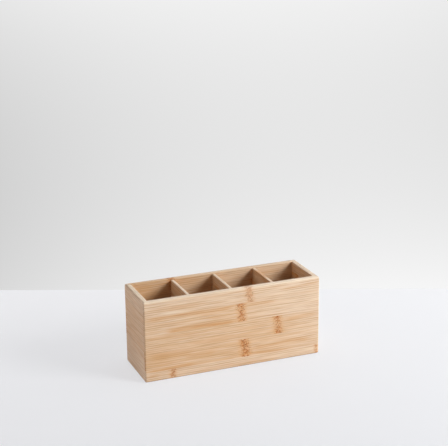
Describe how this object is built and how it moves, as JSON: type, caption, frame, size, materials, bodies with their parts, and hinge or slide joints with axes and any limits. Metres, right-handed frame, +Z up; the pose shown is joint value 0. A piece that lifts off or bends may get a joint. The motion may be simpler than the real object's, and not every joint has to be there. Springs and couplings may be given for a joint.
{
  "type": "bamboo organizer",
  "caption": "Open-topped rectangular desktop organizer of laminated bamboo, divided along its length into four upright compartments for brushes, pens and small tools.",
  "frame": {"origin": "middle of the footprint, on the surface that the box stands on", "axes": "+X along the length, to the right as seen from the front; the front faces -Y; +Z up"},
  "size_m": [0.225, 0.072, 0.1],
  "materials": {
    "bamboo": "sanded laminated bamboo under a thin matt clear lacquer"
  },
  "bodies": {
    "root": {"back_panel_strip_1": "bamboo", "back_panel_strip_2": "bamboo", "back_panel_strip_3": "bamboo", "back_panel_strip_4": "bamboo", "back_panel_strip_5": "bamboo", "base_strip_1": "bamboo", "base_strip_2": "bamboo", "base_strip_3": "bamboo", "divider_1_strip_1": "bamboo", "divider_1_strip_2": "bamboo", "divider_1_strip_3": "bamboo", "divider_1_strip_4": "bamboo", "divider_1_strip_5": "bamboo", "divider_2_strip_1": "bamboo", "divider_2_strip_2": "bamboo", "divider_2_strip_3": "bamboo", "divider_2_strip_4": "bamboo", "divider_2_strip_5": "bamboo", "divider_3_strip_1": "bamboo", "divider_3_strip_2": "bamboo", "divider_3_strip_3": "bamboo", "divider_3_strip_4": "bamboo", "divider_3_strip_5": "bamboo", "front_panel_strip_1": "bamboo", "front_panel_strip_2": "bamboo", "front_panel_strip_3": "bamboo", "front_panel_strip_4": "bamboo", "front_panel_strip_5": "bamboo", "left_end_strip_1": "bamboo", "left_end_strip_2": "bamboo", "left_end_strip_3": "bamboo", "left_end_strip_4": "bamboo", "left_end_strip_5": "bamboo", "right_end_strip_1": "bamboo", "right_end_strip_2": "bamboo", "right_end_strip_3": "bamboo", "right_end_strip_4": "bamboo", "right_end_strip_5": "bamboo"}
  },
  "joints": []
}
